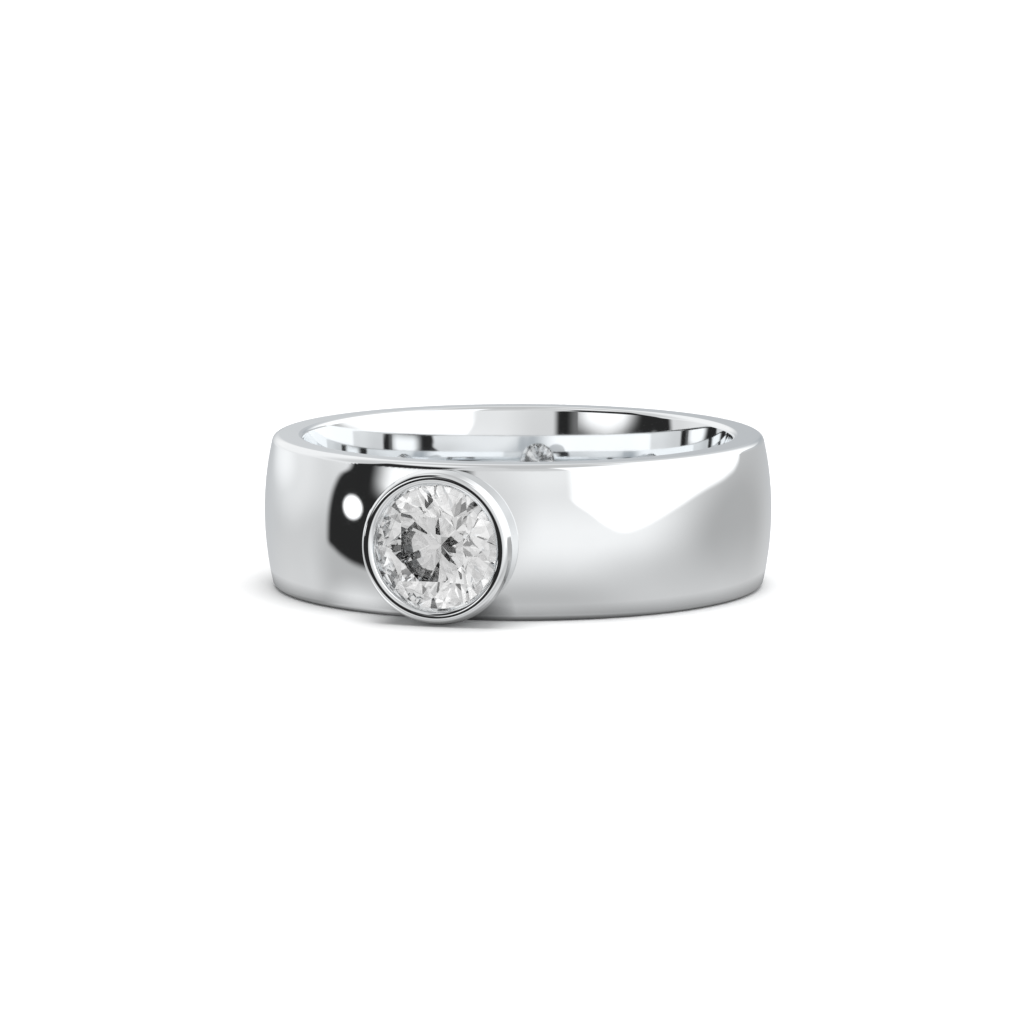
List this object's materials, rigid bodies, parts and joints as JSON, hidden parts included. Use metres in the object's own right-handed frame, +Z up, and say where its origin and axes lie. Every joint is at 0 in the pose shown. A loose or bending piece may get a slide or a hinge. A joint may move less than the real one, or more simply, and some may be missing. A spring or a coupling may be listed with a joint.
{
  "type": "bezel set ring",
  "caption": "Polished white metal finger ring: a wide low-domed comfort-fit band with a round brilliant stone in a full round bezel, lying on its side.",
  "frame": {"origin": "on the axis of the finger hole, at the lower rim, on the surface that the ring lies on", "axes": "+Z up along the finger hole, -Y towards the stone, +X to the right when the stone faces the viewer"},
  "size_m": [0.02, 0.0217, 0.006],
  "materials": {
    "white_gold": "mirror polished, rhodium plated",
    "diamond": "polished facets, colourless"
  },
  "bodies": {
    "root": {"band_and_bezel": "white_gold", "stone": "diamond"}
  },
  "joints": []
}
